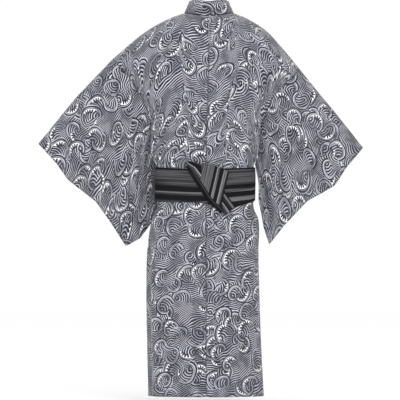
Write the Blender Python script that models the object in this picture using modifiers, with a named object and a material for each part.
"""Cotton yukata robe, filled out as worn, with its obi tied at the back.

Metres, +Z up. The origin is at the nape, level with the top of the shoulders. The back faces
-Y, so the wearer looks along +Y, and the wearer's right is at +X.
Turn is the angle round the body from the centre back, positive towards +X.
"""

import math

import bmesh
import bpy
import numpy as np

# Cloth
WALL = 0.0020
COLLAR_WALL = 0.0030
OBI_WALL = 0.0018
SEAM_GAP = 0.0003
SEAM_OPEN = 0.0008
SIDE_SEAM_OPEN = 0.0014
LAYER_GAP = 0.0028
KNOT_GAP = 0.0008

# Cut of the robe
LENGTH = 1.380
COLLAR_WIDTH = 0.055
NECK_HALF_WIDTH = 0.090
COLLAR_END = -0.850
OKUMI_TIP = -0.300
OKUMI_SEAM_PAST_CENTRE = 0.020
OKUMI_EDGE_PAST_CENTRE = 0.165
COLLAR_LEAVES_BODY = -0.060
SLEEVE_CLOSED = 0.004
UNDERARM_CLEAR = 0.0028
CUFF_OPENING = 0.42
CUFF_BULGE = 0.036
CUFF_FORWARD = 0.020

# Form
SHOULDER_ROLL = 0.062
NECK_DIP = math.radians(38)
SIDE_SEAM = math.radians(103)
SHOULDER = {"left": -0.162, "right": -0.198}
UNDERARM = {"left": -0.522, "right": -0.524}
SIGN = {"left": -1.0, "right": 1.0}

# Half width to each side, half depth behind and in front, and the middle, at each height
BODY_COLUMNS = ("z", "left", "right", "back", "front", "middle")
BODY = (
    (-1.380, 0.209, 0.209, 0.136, 0.140, 0.000),
    (-1.200, 0.213, 0.200, 0.136, 0.140, 0.000),
    (-1.000, 0.216, 0.193, 0.134, 0.138, 0.000),
    (-0.840, 0.211, 0.190, 0.128, 0.134, 0.000),
    (-0.775, 0.202, 0.192, 0.1215, 0.130, 0.000),
    (-0.735, 0.193, 0.187, 0.1160, 0.125, 0.000),
    (-0.712, 0.181, 0.176, 0.1125, 0.1205, 0.000),
    (-0.700, 0.178, 0.172, 0.1110, 0.119, 0.000),
    (-0.670, 0.178, 0.172, 0.1110, 0.119, 0.000),
    (-0.620, 0.178, 0.172, 0.1110, 0.119, 0.000),
    (-0.575, 0.178, 0.172, 0.1110, 0.119, 0.000),
    (-0.555, 0.178, 0.172, 0.1110, 0.119, 0.000),
    (-0.545, 0.181, 0.174, 0.1120, 0.120, 0.000),
    (-0.528, 0.194, 0.181, 0.1160, 0.123, 0.000),
    (-0.505, 0.202, 0.188, 0.1190, 0.125, 0.000),
    (-0.470, 0.203, 0.192, 0.121, 0.125, 0.001),
    (-0.385, 0.206, 0.203, 0.124, 0.127, 0.003),
    (-0.290, 0.263, 0.268, 0.124, 0.126, 0.006),
    (-0.240, 0.306, 0.326, 0.122, 0.124, 0.007),
    (-0.200, 0.354, 0.378, 0.119, 0.121, 0.008),
    (-0.162, 0.395, 0.382, 0.116, 0.117, 0.009),
    (-0.100, 0.398, 0.382, 0.110, 0.108, 0.010),
    (0.000, 0.398, 0.382, 0.100, 0.092, 0.011),
)

# Height of the shoulder line at each distance from the middle of the neck
RIDGE_COLUMNS = ("out", "left", "right")
RIDGE = (
    (0.000, 0.000, 0.000),
    (0.090, 0.000, 0.000),
    (0.155, -0.024, -0.028),
    (0.213, -0.056, -0.068),
    (0.259, -0.089, -0.117),
    (0.327, -0.148, -0.197),
    (0.420, -0.222, -0.305),
)

# Turn of the armhole's back and front edges, from the shoulder to the underarm
ARMHOLE_COLUMNS = ("down", "back", "front")
ARMHOLE = (
    (0.00, 60.0, 120.0),
    (0.32, 68.0, 116.0),
    (0.58, 84.0, 112.0),
    (0.80, 94.0, 108.0),
    (1.00, 103.0, 103.0),
)

# Collar seam on each front: how far it is from the centre front, on its own side
COLLAR_SEAM_COLUMNS = ("z", "out")
COLLAR_SEAM = (
    (-0.850, -0.110),
    (-0.700, -0.100),
    (-0.550, -0.085),
    (-0.400, -0.055),
    (-0.300, -0.020),
    (-0.200, 0.020),
    (-0.100, 0.060),
    (0.000, 0.090),
)

# Way the collar stands off its seam, from the front of the neck to the middle of its back
COLLAR_STAND = (
    (0.95, 0.26, 0.20),
    (0.85, 0.25, 0.42),
    (0.62, 0.22, 0.62),
    (0.30, 0.42, 0.72),
    (0.20, 0.00, 0.90),
    (0.00, -0.10, 1.00),
)

# Folds in the body's cloth: a soft trough or ridge down each one
FOLD_COLUMNS = ("turn", "half_angle", "top", "bottom", "rise")
BODY_FOLDS = (
    (-76.0, 9.0, -0.72, -1.50, -0.009),
    (-60.0, 8.0, -0.76, -1.50, 0.005),
    (-34.0, 8.0, -0.95, -1.50, -0.004),
    (14.0, 9.0, -0.90, -1.50, 0.004),
    (42.0, 8.0, -0.80, -1.50, -0.005),
    (70.0, 9.0, -0.76, -1.50, 0.006),
    (-70.0, 8.0, -0.30, -0.53, -0.007),
    (66.0, 8.0, -0.30, -0.53, -0.007),
    (-30.0, 10.0, -0.34, -0.53, 0.004),
    (24.0, 10.0, -0.36, -0.53, 0.004),
    (148.0, 9.0, -0.78, -1.50, -0.006),
    (205.0, 9.0, -0.78, -1.50, -0.006),
    (176.0, 9.0, -0.90, -1.50, 0.005),
)

# Sleeves: the top edge runs on from the shoulder, the cuff edge from its end
TOP_EDGE = {
    "left": ((-0.472, -0.306), (-0.605, -0.470)),
    "right": ((0.400, -0.277), (0.472, -0.364), (0.526, -0.432), (0.567, -0.484)),
}
CUFF_EDGE = {
    "left": (
        (-0.540, -0.540),
        (-0.497, -0.602),
        (-0.446, -0.641),
        (-0.400, -0.676),
        (-0.350, -0.745),
        (-0.290, -0.840),
    ),
    "right": (
        (0.536, -0.522),
        (0.508, -0.553),
        (0.464, -0.622),
        (0.418, -0.648),
        (0.368, -0.675),
        (0.284, -0.763),
        (0.229, -0.834),
    ),
}
INNER_EDGE = {
    "left": ((-0.177, 0.062, -0.545), (-0.174, 0.072, -0.588), (-0.168, 0.081, -0.636)),
    "right": ((0.178, 0.048, -0.545), (0.190, 0.040, -0.585), (0.196, 0.038, -0.628)),
}
BOTTOM_EDGE = {
    "left": ((-0.178, -0.700), (-0.199, -0.758), (-0.238, -0.811)),
    "right": ((0.190, -0.675), (0.200, -0.722), (0.208, -0.770)),
}

# Folds in a sleeve: each runs from the underarm out to a place along the bottom and cuff
SLEEVE_FOLD_COLUMNS = ("start", "end", "half_width", "rise")
SLEEVE_FOLDS = (
    (0.72, 0.98, 0.055, 0.007),
    (0.60, 0.80, 0.050, -0.006),
    (0.46, 0.58, 0.055, 0.006),
    (0.30, 0.34, 0.050, -0.005),
)

# Obi: its top and bottom edge at each turn
OBI_COLUMNS = ("turn", "top", "bottom")
OBI = (
    (-180.0, -0.574, -0.694),
    (-130.0, -0.566, -0.686),
    (-90.0, -0.556, -0.676),
    (-40.0, -0.559, -0.678),
    (-10.0, -0.563, -0.680),
    (12.0, -0.562, -0.690),
    (35.0, -0.559, -0.695),
    (60.0, -0.557, -0.682),
    (90.0, -0.556, -0.673),
    (130.0, -0.566, -0.686),
    (180.0, -0.574, -0.694),
)
OBI_SLIP = 0.005
OBI_BELLY = 0.0012
OBI_BEHIND = 0.0010
OBI_BEFORE = 0.0070
OBI_HEIGHT = -0.620

# Heights of the rows that draw the cloth in under the obi and let it out again
WAIST_HEIGHTS = (-0.546, -0.556, -0.625, -0.699, -0.713, -0.738, -0.776)

# The body halves and the collar are divided under the obi, where the waist tuck is sewn
TUCK_HEIGHT = -0.625
TUCK_GAP = 0.0005

# Knot pieces from the obi outwards: wall, how far one stands off the piece below, how proud
# its left edge is and how far its top edge is crowned
KNOT_PIECE_COLUMNS = ("name", "wall", "off", "proud", "crown")
KNOT_PIECES = (
    ("knot_tip", 0.0030, 0.0, 0.0, 0.0),
    ("knot_under", 0.0018, 0.0, 0.0, 0.0),
    ("knot_panel", 0.0030, 0.0, 0.004, 0.014),
    ("knot_roll", 0.0018, 0.0021, 0.0, 0.0),
)

# Left and right edge of each knot piece, read from the top down: x and z
KNOT_EDGES = {
    "knot_tip": (
        ((0.011, -0.644), (0.041, -0.687), (0.071, -0.730)),
        ((0.031, -0.593), (0.068, -0.645), (0.105, -0.697)),
    ),
    "knot_under": (
        ((-0.076, -0.550), (-0.037, -0.612), (0.004, -0.677), (0.050, -0.722)),
        ((-0.040, -0.550), (0.000, -0.608), (0.036, -0.668), (0.062, -0.712)),
    ),
    "knot_panel": (
        ((-0.070, -0.546), (-0.030, -0.608), (0.011, -0.672), (0.058, -0.717)),
        ((0.083, -0.571), (0.073, -0.612), (0.056, -0.690), (0.066, -0.713)),
    ),
    "knot_roll": (
        ((-0.078, -0.542), (-0.050, -0.560), (-0.024, -0.594)),
        ((-0.050, -0.535), (-0.016, -0.550), (-0.018, -0.592)),
    ),
}

RIDGE_ROUNDS = 12

# Mesh density
BACK_COLUMNS = 10
NECK_COLUMN = 2
ROLL_ROWS = 4
CHEST_ROWS = 9
SKIRT_ROWS = 11
OKUMI_COLUMNS = 6
SLEEVE_STEPS = 11
COLLAR_COLUMNS = 3
OBI_STEPS = 48
KNOT_ROWS = 8
KNOT_COLUMNS = 6
TUCK_ROW = ROLL_ROWS + CHEST_ROWS + 1 + WAIST_HEIGHTS.index(TUCK_HEIGHT)


def column(names, rows, name, at):
    """A named column of a table, read smoothly at the given places in its first column."""
    table = np.array(rows)
    table = table[np.argsort(table[:, 0])]
    places = table[:, 0]
    values = table[:, names.index(name)]
    slopes = np.gradient(values, places)
    at = np.clip(at, places[0], places[-1])
    i = np.clip(np.searchsorted(places, at) - 1, 0, len(places) - 2)
    span = places[i + 1] - places[i]
    t = (at - places[i]) / span
    rise = values[i + 1] - values[i]
    ease = t * t * (3 - 2 * t)
    start = (t**3 - 2 * t * t + t) * slopes[i] * span
    end = (t**3 - t * t) * slopes[i + 1] * span
    return values[i] + rise * ease + start + end


def smooth(t):
    t = np.clip(t, 0.0, 1.0)
    return t * t * (3 - 2 * t)


def along(points, fractions):
    """Points at these fractions of a polyline's length."""
    points = np.asarray(points, float)
    steps = np.linalg.norm(np.diff(points, axis=0), axis=1)
    reached = np.concatenate([[0.0], np.cumsum(steps)])
    at = np.asarray(fractions) * reached[-1]
    return np.stack([np.interp(at, reached, points[:, k]) for k in range(points.shape[1])], -1)


def fractions_of(points):
    """How far along its own length each point of a polyline is, from 0 to 1."""
    steps = np.linalg.norm(np.diff(np.asarray(points, float), axis=0), axis=1)
    reached = np.concatenate([[0.0], np.cumsum(steps)])
    return reached / reached[-1]


def body_value(name, z):
    return column(BODY_COLUMNS, BODY, name, z)


def half_width(turn, z):
    return np.where(np.sin(turn) >= 0, body_value("right", z), body_value("left", z))


def ridge_height(turn, out):
    right = column(RIDGE_COLUMNS, RIDGE, "right", np.abs(out))
    left = column(RIDGE_COLUMNS, RIDGE, "left", np.abs(out))
    return np.where(np.sin(turn) >= 0, right, left)


def body_fold(turn, z):
    """How far the body's cloth stands out of its plain form."""
    degrees = np.degrees(turn)
    total = np.zeros(np.broadcast(turn, z).shape)
    for row in BODY_FOLDS:
        fold = dict(zip(FOLD_COLUMNS, row))
        off = np.abs((degrees - fold["turn"] + 180) % 360 - 180) / fold["half_angle"]
        length = fold["top"] - fold["bottom"]
        down = (fold["top"] - z) / length
        ends = smooth(down * 4) * smooth((1 - down) * 4)
        total = total + fold["rise"] * np.exp(-(off**2)) * ends
    return total


def body_point(turn, z, lift=0.0):
    """A point of the filled-out robe, and lift moves it out."""
    turn, z = np.broadcast_arrays(np.asarray(turn, float), np.asarray(z, float))
    width = half_width(turn, z)
    depth = np.where(np.cos(turn) >= 0, body_value("back", z), body_value("front", z))
    out = width * np.sin(turn)
    drop = np.clip((ridge_height(turn, out) - z) / SHOULDER_ROLL, 0.0, 1.0)
    roll = np.sqrt(np.clip(1 - (1 - drop) ** 2, 0.0, 1.0))
    normal = np.stack([np.sin(turn) / width, -np.cos(turn) / depth], -1)
    normal /= np.linalg.norm(normal, axis=-1, keepdims=True)
    move = (lift + body_fold(turn, z)) * roll
    x = body_value("middle", z) + out + normal[..., 0] * move
    y = -depth * np.cos(turn) * roll + normal[..., 1] * move
    return np.stack([x, y, z], -1)


def front_turn(side, out, z):
    """Turn of a point in front, out metres from the centre front on this side's half."""
    sign = SIGN[side]
    other = "left" if side == "right" else "right"
    width = np.where(out >= 0, body_value(side, z), body_value(other, z))
    return sign * (math.pi - np.arcsin(np.clip(out / width, -1.0, 1.0)))


def armhole_turn(side, edge, z):
    """Turn of the armhole's edge, or of the side seam below it, without its sign."""
    down = (SHOULDER[side] - z) / (SHOULDER[side] - UNDERARM[side])
    return np.radians(column(ARMHOLE_COLUMNS, ARMHOLE, edge, down))


def row_heights(ridge, side, dip=0.0):
    """Heights of one column of the cloth, from the shoulder line or the neck to the hem."""
    angles = np.linspace(dip, math.pi / 2, ROLL_ROWS + 1)
    top = ridge - SHOULDER_ROLL * (1 - np.cos(angles))
    chest = np.linspace(top[-1], UNDERARM[side], CHEST_ROWS + 1)[1:]
    skirt = np.linspace(WAIST_HEIGHTS[-1], -LENGTH, SKIRT_ROWS + 1)[1:]
    return np.concatenate([top, chest, WAIST_HEIGHTS, skirt])


def over_lift(side, turn, z):
    """The left front lies over the right one, and both are flush at the seams."""
    if side == "right":
        return np.zeros(np.broadcast(turn, z).shape)
    from_seam = (np.abs(turn) - SIDE_SEAM) / math.radians(11)
    below_neck = (-0.040 - z) / 0.070
    return (WALL + LAYER_GAP) * smooth(from_seam) * smooth(below_neck)


def column_shares(side):
    """Share of the back's width at each column, with a column at the side of the neck."""
    edge = armhole_turn(side, "back", SHOULDER[side])
    neck = math.asin(NECK_HALF_WIDTH / float(body_value(side, 0.0))) / float(edge)
    inside = np.linspace(0.0, neck, NECK_COLUMN + 1)
    outside = np.linspace(neck, 1.0, BACK_COLUMNS - NECK_COLUMN + 1)
    return np.concatenate([inside, outside[1:]])


def back_grid(side):
    """Points of the back half, in rows from the top to the hem, columns from the middle out."""
    edge_heights = row_heights(SHOULDER[side], side)
    edge = armhole_turn(side, "back", edge_heights)
    columns = []
    for j, share in enumerate(column_shares(side)):
        inside_neck = max(0.0, 1 - (j / NECK_COLUMN) ** 2)
        dip = NECK_DIP * math.sqrt(inside_neck)
        heights = row_heights(ridge_at_share(side, share), side, dip)
        turn = np.maximum(share * edge, SEAM_OPEN / 2 / body_value("left", heights))
        columns.append(body_point(SIGN[side] * turn, heights))
    return np.stack(columns, 1)


def ridge_at_share(side, share):
    """Height of the shoulder line at this share of the way from the neck's middle out."""
    turn = SIGN[side] * share * armhole_turn(side, "back", SHOULDER[side])
    height = SHOULDER[side]
    for _ in range(RIDGE_ROUNDS):
        height = float(ridge_height(turn, body_value(side, height) * np.sin(turn)))
    return height


def front_edge_out(z):
    """How far the front panel's inner edge is from the centre front, on its own side."""
    seam = column(COLLAR_SEAM_COLUMNS, COLLAR_SEAM, "out", z)
    return np.maximum(seam, -OKUMI_SEAM_PAST_CENTRE)


def front_grid(side):
    """Points of the front half, in rows from the shoulder line to the hem, columns from the
    inner edge out. Its first row is the back's first row."""
    edge_heights = row_heights(SHOULDER[side], side)
    outer = armhole_turn(side, "front", edge_heights)
    outer_shift = SIDE_SEAM_OPEN / body_value("left", edge_heights)
    outer = outer + np.where(edge_heights < UNDERARM[side] + SEAM_GAP, outer_shift, 0.0)
    shares = column_shares(side)[NECK_COLUMN:]
    inner_heights = row_heights(ridge_at_share(side, shares[0]), side)
    inner = np.abs(front_turn(side, front_edge_out(inner_heights), inner_heights))
    columns = []
    for share in shares:
        part = (share - shares[0]) / (1 - shares[0])
        heights = row_heights(ridge_at_share(side, share), side)
        turn = inner + (outer - inner) * part
        lift = over_lift(side, turn, heights)
        columns.append(body_point(SIGN[side] * turn, heights, lift))
    grid = np.stack(columns, 1)
    grid[0] = back_grid(side)[0, NECK_COLUMN:]
    return grid


def okumi_heights():
    """Heights of the okumi's rows down to the collar's end."""
    upper = np.linspace(OKUMI_TIP - 0.012, UNDERARM["left"], 6)
    return np.concatenate([upper, WAIST_HEIGHTS, (-0.813, COLLAR_END)])


def okumi_grid(side, start, end, heights):
    """Part of the narrow front panel, from start to end metres past the centre front."""
    first = front_turn(side, -start, heights)
    last = front_turn(side, -end, heights)
    columns = []
    for share in np.linspace(0.0, 1.0, OKUMI_COLUMNS + 1):
        turn = first + (last - first) * share
        lift = over_lift(side, np.abs(turn), heights)
        columns.append(body_point(turn, heights, lift))
    return np.stack(columns, 1)


def collar_row(side, z):
    """The collar's points across its width, from its seam, on the front at this height."""
    seam_out = column(COLLAR_SEAM_COLUMNS, COLLAR_SEAM, "out", np.array([z - 0.01, z, z + 0.01]))
    slope = (seam_out[2] - seam_out[0]) / 0.02
    stretch = math.sqrt(1 + slope * slope)
    seam = seam_out[1] - SEAM_OPEN * stretch
    first = front_turn(side, seam, z)
    last = front_turn(side, seam - COLLAR_WIDTH * stretch, z)
    turn = first + (last - first) * np.linspace(0.0, 1.0, COLLAR_COLUMNS + 1)
    return body_point(turn, z, over_lift(side, np.abs(turn), z))


def collar_grid():
    """The whole collar, columns from its seam to its free edge, rows from the left front
    round the neck to the right front."""
    halves = []
    for side in ("left", "right"):
        panel = front_grid(side)[:, 0]
        on_panel = panel[(panel[:, 2] < COLLAR_LEAVES_BODY) & (panel[:, 2] > OKUMI_TIP), 2]
        lying = np.concatenate([okumi_heights()[::-1], on_panel[::-1]])
        lying[0] += SEAM_OPEN
        rows = [collar_row(side, z) for z in lying]
        back = back_grid(side)[0]
        seam = [panel[3], panel[2], panel[1]] + [back[j] for j in range(NECK_COLUMN, -1, -1)]
        for point, stand in zip(seam, COLLAR_STAND):
            way = np.array([-SIGN[side] * stand[0], stand[1], stand[2]])
            way /= np.linalg.norm(way)
            across = SEAM_OPEN + COLLAR_WIDTH * np.linspace(0.0, 1.0, COLLAR_COLUMNS + 1)
            rows.append(point + across[:, None] * way)
        halves.append(np.array(rows))
    left, right = halves
    middle = (left[-1:] + right[-1:]) / 2
    return np.concatenate([left[:-1], middle, right[::-1][1:]])


def sleeve_sheets(side):
    """The sleeve's back and front sheets, rows down from its top edge, columns out to the
    cuff, and the row from which the inner edge is closed."""
    back_body = back_grid(side)[: ROLL_ROWS + CHEST_ROWS + 1]
    front_body = front_grid(side)[: ROLL_ROWS + CHEST_ROWS + 1]
    start_back = off_edge(back_body)
    start_front = off_edge(front_body)
    start_front[0] = start_back[0]
    closed_from = len(start_back) - 1
    closed = np.array(INNER_EDGE[side])
    apart = np.array([0.0, SLEEVE_CLOSED, 0.0])
    underarm = (start_back[-1] + start_front[-1]) / 2
    underarm[0] += SIGN[side] * UNDERARM_CLEAR
    start_back[-1] = underarm - apart
    start_front[-1] = underarm + apart
    start_back = np.concatenate([start_back, closed - apart])
    start_front = np.concatenate([start_front, closed + apart])
    plan = (start_back + start_front)[:, [0, 2]] / 2
    down = fractions_of(plan)
    across = np.linspace(0.0, 1.0, SLEEVE_STEPS + 1)
    top = along([tuple(plan[0])] + list(TOP_EDGE[side]), across)
    cuff = along([TOP_EDGE[side][-1]] + list(CUFF_EDGE[side]), down)
    corner = (INNER_EDGE[side][-1][0], INNER_EDGE[side][-1][2])
    bottom_points = [corner] + list(BOTTOM_EDGE[side]) + [CUFF_EDGE[side][-1]]
    bottom = along(bottom_points, across)
    sheets = []
    for start, sign in ((start_back, -1.0), (start_front, 1.0)):
        first = start[:, [0, 2]]
        s = across[None, :, None]
        t = down[:, None, None]
        corners = (
            (1 - s) * (1 - t) * first[0]
            + s * (1 - t) * cuff[0]
            + (1 - s) * t * first[-1]
            + s * t * cuff[-1]
        )
        flat = (
            (1 - s) * first[:, None]
            + s * cuff[:, None]
            + (1 - t) * top[None]
            + t * bottom[None]
            - corners
        )
        open_share = np.clip(down / CUFF_OPENING, 0.0, 1.0)
        bulge = np.sin(math.pi * open_share) ** 0.6 * CUFF_BULGE
        bulge = np.maximum(bulge, SLEEVE_CLOSED)
        bulge[0] = 0.0
        end = sign * bulge + CUFF_FORWARD * down
        ease = smooth(across)[None]
        depth = start[:, 1][:, None] * (1 - ease) + end[:, None] * ease
        depth = depth + sleeve_fold(across[None], down[:, None])
        sheets.append(np.stack([flat[..., 0], depth, flat[..., 1]], -1))
    return sheets[0], sheets[1], closed_from


def sleeve_fold(s, t):
    """How far the sleeve's cloth is moved forward by its folds."""
    total = np.zeros(np.broadcast(s, t).shape)
    for row in SLEEVE_FOLDS:
        fold = dict(zip(SLEEVE_FOLD_COLUMNS, row))
        line = fold["start"] + (fold["end"] - fold["start"]) * s
        width = fold["half_width"] * (0.6 + 0.9 * s)
        bump = np.exp(-(((t - line) / width) ** 2))
        total = total + fold["rise"] * bump * smooth(s * 3.5) * smooth(t * 5)
    return total


def off_edge(grid):
    """The last column, moved on past its edge by the seam's gap."""
    way = grid[:, -1] - grid[:, -2]
    way /= np.linalg.norm(way, axis=1, keepdims=True)
    return grid[:, -1] + way * SEAM_GAP * 2


def obi_lift(turn):
    """The obi lies close behind and over both fronts before."""
    before = smooth((np.abs(turn) - math.radians(85)) / math.radians(32))
    return OBI_BEHIND + (OBI_BEFORE - OBI_BEHIND) * before


def obi_grid(slip, lift):
    turns = np.radians(np.linspace(-180.0, 180.0, OBI_STEPS + 1)[:-1])
    rows = []
    top = column(OBI_COLUMNS, OBI, "top", np.degrees(turns)) - slip
    bottom = column(OBI_COLUMNS, OBI, "bottom", np.degrees(turns)) - slip
    for share in (0.0, 0.5, 1.0):
        z = top + (bottom - top) * share
        level = np.full_like(z, OBI_HEIGHT)
        belly = OBI_BELLY * math.sin(math.pi * share)
        points = body_point(turns, level, obi_lift(turns) + lift + belly)
        points[:, 2] = z
        rows.append(points)
    return np.stack(rows, 0)


def knot_grid(left, right, lift, proud, crown):
    """A sheet between two edges, on the obi's back. It stands proud along its left edge, and
    its top edge is crowned."""
    down = np.linspace(0.0, 1.0, KNOT_ROWS + 1)[:, None]
    across = np.linspace(0.0, 1.0, KNOT_COLUMNS + 1)[None]
    left_edge = along(left, down[:, 0])[:, None]
    right_edge = along(right, down[:, 0])[:, None]
    flat = left_edge * (1 - across[..., None]) + right_edge * across[..., None]
    raised = crown * np.sin(math.pi * across) * (1 - down) ** 2
    x = flat[..., 0]
    level = np.full_like(x, OBI_HEIGHT)
    turn = np.arcsin(np.clip(x / half_width(np.sign(x), level), -1.0, 1.0))
    points = body_point(turn, level, lift + proud * (1 - across) * np.sin(math.pi * down))
    points[..., 0] = x
    points[..., 2] = flat[..., 1] + raised
    return points


def material(name, colour, roughness):
    made = bpy.data.materials.new(name)
    made.use_nodes = True
    shader = made.node_tree.nodes["Principled BSDF"]
    shader.inputs["Base Color"].default_value = (*colour, 1.0)
    shader.inputs["Roughness"].default_value = roughness
    shader.inputs["Metallic"].default_value = 0.0
    return made


def printed_cotton(name):
    return material(name, (0.33, 0.33, 0.40), 0.85)


def woven_belt(name):
    return material(name, (0.030, 0.030, 0.036), 0.60)


def add_grid(bm, grid, wrap=False):
    """Adds the grid's vertices and faces, and returns its vertices in rows."""
    verts = [[bm.verts.new(point) for point in row] for row in grid]
    columns = len(verts[0])
    for upper, lower in zip(verts, verts[1:]):
        for j in range(columns if wrap else columns - 1):
            k = (j + 1) % columns
            bm.faces.new((upper[j], upper[k], lower[k], lower[j]))
    return verts


def finish(name, bm, wall, group, look, outward, even=True):
    """Makes the object of an open sheet: welds it, turns it outwards and gives it its wall."""
    bmesh.ops.remove_doubles(bm, verts=bm.verts, dist=1e-5)
    bmesh.ops.recalc_face_normals(bm, faces=bm.faces)
    facing = sum(f.normal.dot(outward(f.calc_center_median())) * f.calc_area() for f in bm.faces)
    if facing < 0:
        bmesh.ops.reverse_faces(bm, faces=bm.faces)
    mesh = bpy.data.meshes.new(name)
    bm.to_mesh(mesh)
    bm.free()
    mesh.materials.append(look)
    mesh.shade_smooth()
    made = bpy.data.objects.new(name, mesh)
    group.objects.link(made)
    shell = made.modifiers.new("Wall", "SOLIDIFY")
    shell.thickness = wall
    shell.offset = -1.0
    shell.use_even_offset = even
    shell.use_quality_normals = True
    return made


def from_axis(point):
    """Away from the middle of the body."""
    outward = point.copy()
    outward.z = 0.15
    return outward.normalized()


def backwards(point):
    outward = point.copy()
    outward.x = 0.0
    outward.y = -1.0
    outward.z = 0.0
    return outward


def body_above_tuck(name, side, group, look):
    bm = bmesh.new()
    for grid in (back_grid(side), front_grid(side)):
        add_grid(bm, grid[: TUCK_ROW + 1])
    return finish(name, bm, WALL, group, look, from_axis)


def body_below_tuck(name, grid, group, look):
    grid[TUCK_ROW, :, 2] -= TUCK_GAP
    bm = bmesh.new()
    add_grid(bm, grid[TUCK_ROW:])
    return finish(name, bm, WALL, group, look, from_axis)


def okumi(side, group, look):
    upper = okumi_heights()
    skirt = np.linspace(WAIST_HEIGHTS[-1], -LENGTH, SKIRT_ROWS + 1)
    lower = skirt[skirt < COLLAR_END - 0.020]
    whole = np.concatenate([upper, lower])
    below = np.concatenate([[COLLAR_END], lower])
    seam = np.full_like(whole, OKUMI_SEAM_PAST_CENTRE + SEAM_OPEN)
    edge = -column(COLLAR_SEAM_COLUMNS, COLLAR_SEAM, "out", whole)
    bm = bmesh.new()
    add_grid(bm, okumi_grid(side, seam, edge, whole))
    add_grid(bm, okumi_grid(side, edge[-len(below) :], OKUMI_EDGE_PAST_CENTRE, below))
    return finish("okumi_" + side, bm, WALL, group, look, from_axis)


def collar_pieces():
    """The collar above the tuck and its two ends below it, each with its name."""
    grid = collar_grid()
    tuck = list(okumi_heights()[::-1]).index(TUCK_HEIGHT)
    left_end = grid[: tuck + 1].copy()
    left_end[-1, :, 2] -= TUCK_GAP
    right_end = grid[-tuck - 1 :].copy()
    right_end[0, :, 2] -= TUCK_GAP
    return (
        ("collar", grid[tuck:-tuck]),
        ("collar_end_left", left_end),
        ("collar_end_right", right_end),
    )


def collar(name, grid, group, look):
    bm = bmesh.new()
    add_grid(bm, grid)
    return finish(name, bm, COLLAR_WALL, group, look, from_axis)


def sleeve(side, group, look):
    """Two sheets joined along the top, the bottom and where the inner edge and cuff are shut."""
    back, front, closed_from = sleeve_sheets(side)
    bm = bmesh.new()
    back_rows = add_grid(bm, back)
    front_rows = add_grid(bm, front)
    down = fractions_of(back[:, -1][:, [0, 2]])
    shut = next(i for i, share in enumerate(down) if share >= CUFF_OPENING)
    edges = [(back_rows[-1][j], front_rows[-1][j]) for j in range(SLEEVE_STEPS + 1)]
    inner = [(back_rows[i][0], front_rows[i][0]) for i in range(closed_from, len(back))]
    outer = [(back_rows[i][-1], front_rows[i][-1]) for i in range(shut, len(back))]
    for run in (edges, inner, outer):
        for (a, b), (c, d) in zip(run, run[1:]):
            bm.faces.new((a, b, d, c))
    centre = np.concatenate([back.reshape(-1, 3), front.reshape(-1, 3)]).mean(0)

    def from_middle(point):
        outward = point.copy()
        outward.x = 0.0
        outward.y = point.y - centre[1]
        outward.z = 0.0
        return outward

    return finish("sleeve_" + side, bm, WALL, group, look, from_middle, even=False)


def obi_turn(name, slip, lift, group, look):
    bm = bmesh.new()
    add_grid(bm, obi_grid(slip, lift), wrap=True)
    return finish(name, bm, OBI_WALL, group, look, from_axis)


def knot_piece(name, grid, wall, group, look):
    bm = bmesh.new()
    add_grid(bm, grid)
    return finish(name, bm, wall, group, look, backwards)


def build():
    for old in list(bpy.data.objects):
        bpy.data.objects.remove(old, do_unlink=True)
    group = bpy.data.collections.new("yukata_robe")
    bpy.context.scene.collection.children.link(group)
    for side in ("left", "right"):
        upper = "body_" + side
        body_above_tuck(upper, side, group, printed_cotton(upper))
        skirts = (("skirt_back_" + side, back_grid(side)), ("skirt_front_" + side, front_grid(side)))
        for name, grid in skirts:
            body_below_tuck(name, grid, group, printed_cotton(name))
        okumi(side, group, printed_cotton("okumi_" + side))
        sleeve(side, group, printed_cotton("sleeve_" + side))
    for name, grid in collar_pieces():
        collar(name, grid, group, printed_cotton(name))

    inner_out = OBI_WALL
    outer_out = inner_out + KNOT_GAP + OBI_WALL
    obi_turn("obi_inner", OBI_SLIP, inner_out, group, woven_belt("obi_inner"))
    obi_turn("obi_outer", 0.0, outer_out, group, woven_belt("obi_outer"))
    lift = OBI_BEHIND + outer_out + OBI_BELLY
    for row in KNOT_PIECES:
        piece = dict(zip(KNOT_PIECE_COLUMNS, row))
        lift += KNOT_GAP + piece["wall"]
        left, right = KNOT_EDGES[piece["name"]]
        grid = knot_grid(left, right, lift + piece["off"], piece["proud"], piece["crown"])
        knot_piece(piece["name"], grid, piece["wall"], group, woven_belt(piece["name"]))


build()
